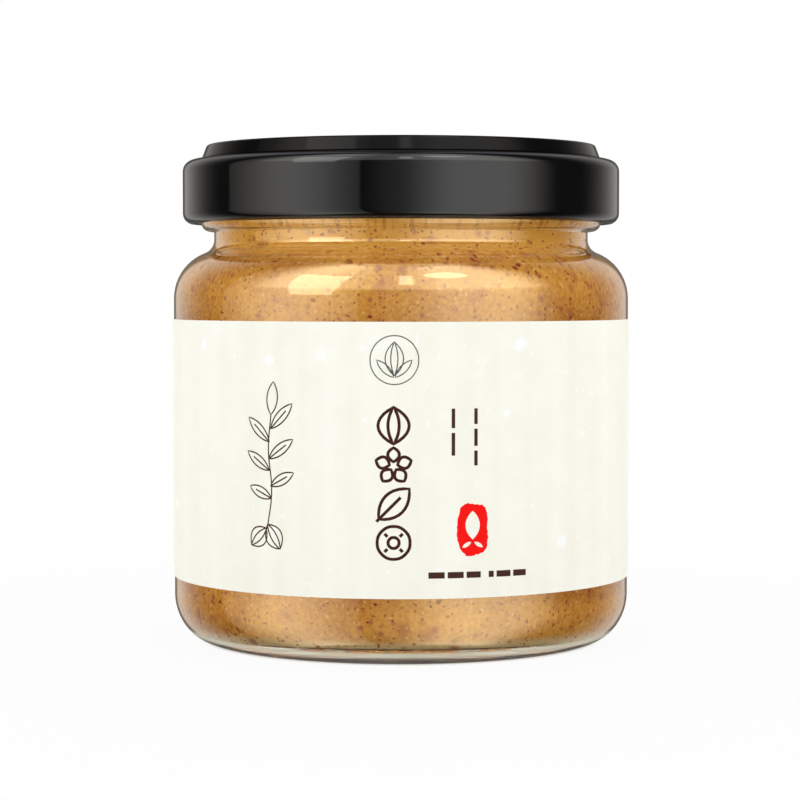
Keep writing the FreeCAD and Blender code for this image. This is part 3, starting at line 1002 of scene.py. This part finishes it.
class JAR_OT_butter(bpy.types.Operator):
    """Fill the jar with almond butter, with skin flecks and bits of kernel at the glass"""

    bl_idname = "jar.butter"
    bl_label = "Almond Butter"

    def execute(self, context):
        settings = context.scene.jar_butter
        dice = random.Random(FLECK_SEED)
        mesh = turn_butter(settings)
        butter = keep_piece(
            "butter", mesh, almond_paste(settings), ["almond_butter"], crease=None
        )
        flakes = make_shapes(9, flat=True, dice=dice)
        flecks = scatter(
            butter.data, flakes, settings.fleck_count, settings.fleck_size, depth=-0.03, dice=dice
        )
        keep_piece("skin_flecks", flecks, almond_skin(settings), crease=30)
        lumps = make_shapes(7, flat=False, dice=dice)
        bits = scatter(
            butter.data, lumps, settings.bit_count, settings.bit_size, depth=-0.38, dice=dice
        )
        keep_piece("kernel_bits", bits, almond_kernel(settings), crease=None)
        return {"FINISHED"}


class JAR_OT_lid(bpy.types.Operator):
    """Turn the lid and finish its sealing ring"""

    bl_idname = "jar.lid"
    bl_label = "Lid"

    def execute(self, context):
        settings = context.scene.jar_lid
        lid = keep_piece(
            "lid_shell", turn_lid(settings), black_lacquer(settings), ["lid"]
        )
        lid.visible_shadow = False
        refinish("seal", sealing_compound(settings))
        return {"FINISHED"}


class JAR_OT_label(bpy.types.Operator):
    """Wrap the paper label round the jar and print it"""

    bl_idname = "jar.label"
    bl_label = "Label"

    def execute(self, context):
        settings = context.scene.jar_label
        label = keep_piece(
            "label_sheet", cut_label(settings), flecked_paper(settings), ["label"]
        )
        label.visible_shadow = False
        radius = body_radius + settings.thickness
        for name, drawing, colour in (
            ("print_sprig", draw_sprig(), settings.pale_ink),
            ("print_emblem", draw_emblem(), settings.grey_ink),
            ("print_ornaments", draw_ornaments(), settings.ink),
            ("print_bars", draw_bars(), settings.pale_ink),
            ("print_patch", draw_patch(), settings.red_ink),
        ):
            ink = printing_ink(name.replace("print", "ink"), colour, settings)
            keep_piece(name, drawing.wrapped(radius, settings.film), ink)
        return {"FINISHED"}


def soft_lamp(name, azimuth, elevation, strength):
    """A square lamp that faces the jar and that gloss doesn't show."""
    size, distance, aim = 0.45, 0.7, Vector((0, 0, 0.035))
    lamp = bpy.data.lights.new(name, "AREA")
    lamp.shape = "SQUARE"
    lamp.size = size
    lamp.energy = strength
    holder = stand(name, lamp)
    azimuth, elevation = math.radians(azimuth), math.radians(elevation)
    way = Vector((
        math.sin(azimuth) * math.cos(elevation), -math.cos(azimuth) * math.cos(elevation),
        math.sin(elevation),
    ))
    holder.location = aim + way * distance
    holder.rotation_euler = way.to_track_quat("Z", "Y").to_euler()
    holder.visible_glossy = False
    holder.visible_transmission = False


def light_world(settings):
    """White behind the jar, even soft light, and a studio of panels for gloss to show."""
    world = bpy.data.worlds.new("studio")
    bpy.context.scene.world = world
    nodes = Nodes(world)
    x, y, z = nodes.split(nodes.add("TexCoord", output=0))
    lowest, highest = -62, 75
    middle = -21        # azimuth where the left panel ends and the right one begins
    azimuth = nodes.maths("DEGREES", nodes.maths("ARCTAN2", x, -y))
    elevation = nodes.maths("DEGREES", nodes.maths("ARCSINE", z))
    side = nodes.maths("ABSOLUTE", azimuth)

    bell = nodes.maths("EXPONENT", -1 * ((azimuth + 58) / 30) ** 2)
    left = 2.15 * bell * nodes.between(azimuth, -100, middle, 0.8)
    left = left * nodes.between(elevation, lowest, highest, 2)
    right = 0.15 * nodes.ease(azimuth, middle, 0) + 0.85 * nodes.ease(azimuth, -4, 32)
    right = 2.25 * right * (1 - nodes.ease(azimuth, 52, 90))
    right = right * nodes.between(elevation, lowest, highest, 4)
    rims = 0.65 * nodes.ease(side, 105, 150) * (1 - 0.8 * nodes.ease(side, 156, 163))
    overhead = 1.3 * nodes.between(elevation, 21, 84, 4) * nodes.between(azimuth, -80, 80, 12)
    from_left = nodes.ease(azimuth + 54 + 0.27 * elevation, -0.8, 0.8)
    from_right = nodes.ease(-1 * azimuth - 35.7 + 0.11 * elevation, -0.8, 0.8)
    window = from_left * from_right * nodes.between(elevation, 10, 50, 1)
    slit = nodes.between(azimuth, -1, 7, 1.5) * nodes.between(elevation, 32, 53, 2)
    spread = ((azimuth - 30) / 15) ** 2 + ((elevation - 53) / 7) ** 2
    disc = 1 - nodes.ease(spread, 0.85, 1.15)
    panels = left + right + rims + overhead + 2.5 * window + 3.2 * slit + 3.2 * disc
    panels = settings.panels * panels + 0.01

    camera, glossy, passing = nodes.rays("Camera", "Glossy", "Transmission")
    backdrop = 0.4 + 0.6 * nodes.ease(side, 60, 120)
    even = settings.ambient * (1 - camera) * (1 - glossy) * (1 - passing)
    mirrored = glossy * (1 - passing)
    strength = camera + passing * backdrop + mirrored * panels + even
    warm = mirrored * (1 - 0.7 * nodes.ease(side, 95, 150))
    colour = nodes.mix(warm, (1, 1, 1), (1, 0.8, 0.49))
    background = nodes.add("Background", None, {"Color": colour, "Strength": strength})
    nodes.show(background, "OutputWorld")


def studio_floor():
    """A pale floor that is white to the eye, with a faint part of its own shading near the jar.

    In a ring under the foot it isn't white, so its full shadow shows there.
    """
    material, nodes, place = new_material("studio_floor")
    reach = nodes.add("VectorMath", {"operation": "LENGTH"}, {0: place}, output=1)
    grain = nodes.noise(place, 60, detail=2.0)
    plain = nodes.principled(
        base_color=nodes.mix(grain, (0.71, 0.71, 0.71), (0.73, 0.73, 0.73)), roughness=0.9,
        specular_ior_level=0.0,
    )
    white = nodes.add("Emission", None, {"Color": (1, 1, 1, 1), "Strength": 1.0})
    camera, glossy, passing = nodes.rays("Camera", "Glossy", "Transmission")
    seen = nodes.maths("MAXIMUM", nodes.maths("MAXIMUM", camera, glossy), passing)
    share = 0.93 + 0.07 * nodes.ease(reach, 60 * MM, 200 * MM)
    under_foot = nodes.between(reach, 23.5 * MM, 27.2 * MM, 0.8 * MM)
    nodes.show(nodes.mix_shaders(seen * share * (1 - under_foot), plain, white))
    return material


class JAR_OT_stage(bpy.types.Operator):
    """Set the floor, the lamps, the world and the camera"""

    bl_idname = "jar.stage"
    bl_label = "Stage"

    def execute(self, context):
        settings = context.scene.jar_stage
        mesh = bmesh.new()
        bmesh.ops.create_circle(mesh, cap_ends=True, segments=64, radius=3.0)
        floor = stand("floor", finished("floor", mesh))
        floor.data.materials.append(studio_floor())
        floor.visible_glossy = False

        light_world(settings)
        spacing = 360 / LAMPS
        for number in range(LAMPS):
            azimuth = spacing * number
            soft_lamp(f"lamp_low_{number}", azimuth, 6, settings.lamp)
            soft_lamp(f"lamp_high_{number}", azimuth + spacing / 2, 38, settings.high_lamp)

        view = bpy.data.cameras.new("camera")
        view.lens = settings.lens
        view.sensor_width = 36
        view.clip_start = 0.01
        view.clip_end = 20
        camera = stand("camera", view)
        camera.location = settings.camera
        camera.rotation_euler = (math.pi / 2 - settings.tilt, 0, 0)
        context.scene.camera = camera
        context.scene.view_settings.view_transform = "Standard"
        cycles = context.scene.cycles
        cycles.max_bounces = 20
        cycles.glossy_bounces = cycles.transmission_bounces = 16
        return {"FINISHED"}


class JAR_PT_panel(bpy.types.Panel):
    """The pieces of the jar and their settings"""

    bl_idname = "JAR_PT_panel"
    bl_label = "Almond Butter Jar"
    bl_space_type = "VIEW_3D"
    bl_region_type = "UI"
    bl_category = "Jar"

    def draw(self, context):
        for operator, (pointer, group) in zip(OPERATORS, SETTINGS.items()):
            box = self.layout.box()
            box.operator(operator.bl_idname)
            for name in group.__annotations__:
                box.prop(getattr(context.scene, pointer), name)


OPERATORS = (JAR_OT_glass, JAR_OT_butter, JAR_OT_lid, JAR_OT_label, JAR_OT_stage)


def register():
    for group in SETTINGS.values():
        bpy.utils.register_class(group)
    for pointer, group in SETTINGS.items():
        setattr(bpy.types.Scene, pointer, PointerProperty(type=group))
    for operator in OPERATORS:
        bpy.utils.register_class(operator)
    bpy.utils.register_class(JAR_PT_panel)


def unregister():
    bpy.utils.unregister_class(JAR_PT_panel)
    for operator in reversed(OPERATORS):
        bpy.utils.unregister_class(operator)
    for pointer in SETTINGS:
        delattr(bpy.types.Scene, pointer)
    for group in reversed(SETTINGS.values()):
        bpy.utils.unregister_class(group)


def main():
    register()
    bpy.ops.jar.glass()
    bpy.ops.jar.butter()
    bpy.ops.jar.lid()
    bpy.ops.jar.label()
    bpy.ops.jar.stage()


if __name__ == "__main__":
    main()
